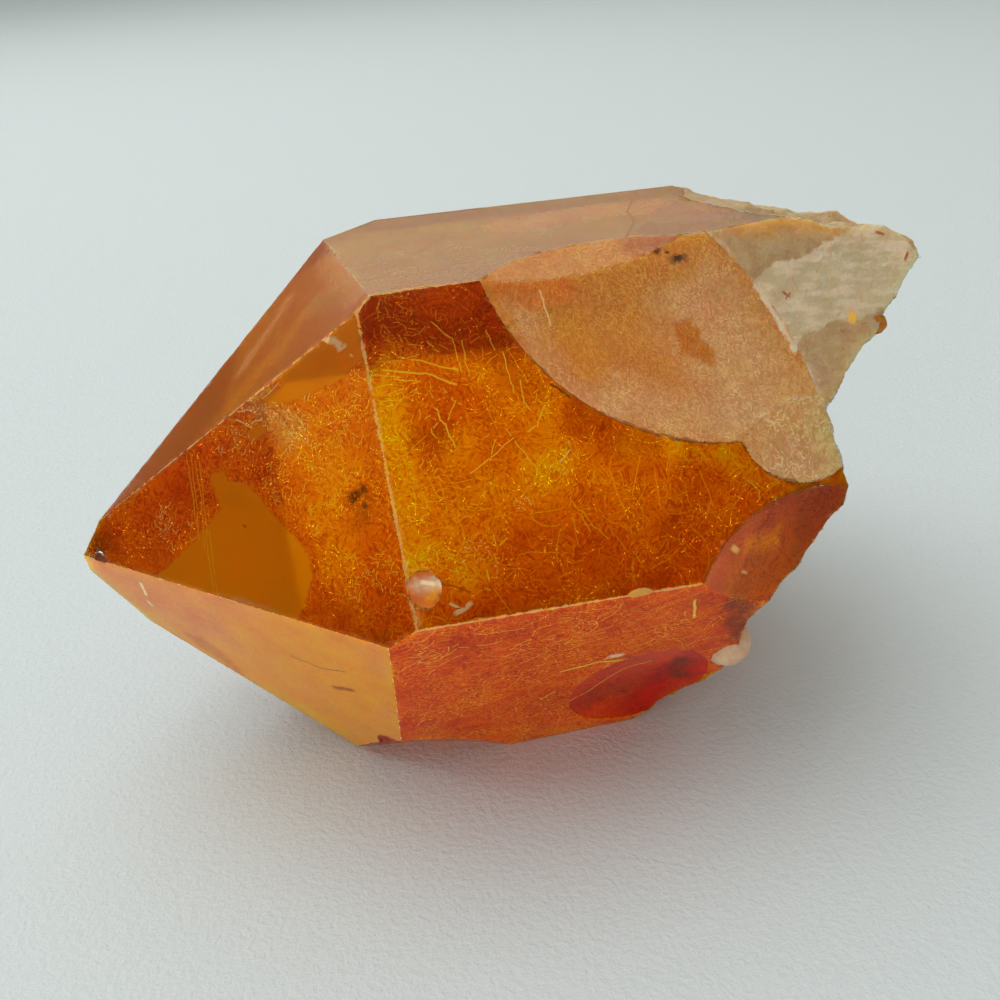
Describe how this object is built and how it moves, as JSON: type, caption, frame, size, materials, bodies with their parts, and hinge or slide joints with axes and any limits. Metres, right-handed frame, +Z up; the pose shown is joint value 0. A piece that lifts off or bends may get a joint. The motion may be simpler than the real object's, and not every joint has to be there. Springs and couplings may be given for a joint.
{
  "type": "tangerine quartz crystal",
  "caption": "Stubby six-sided quartz point with an orange iron-stained skin, lying on a prism face, with a pale curved break at the shoulder and a rough broken root.",
  "frame": {"origin": "middle of the outline's footprint, on the table under the crystal", "axes": "+X along the crystal's long axis from its point towards its broken root, -Y towards the front with the large stained faces, +Z up"},
  "size_m": [0.0888, 0.0568, 0.0506],
  "materials": {
    "stained_quartz": "satin, translucent, orange-brown iron-stained skin"
  },
  "bodies": {
    "root": {"quartz_crystal": "stained_quartz"}
  },
  "joints": []
}
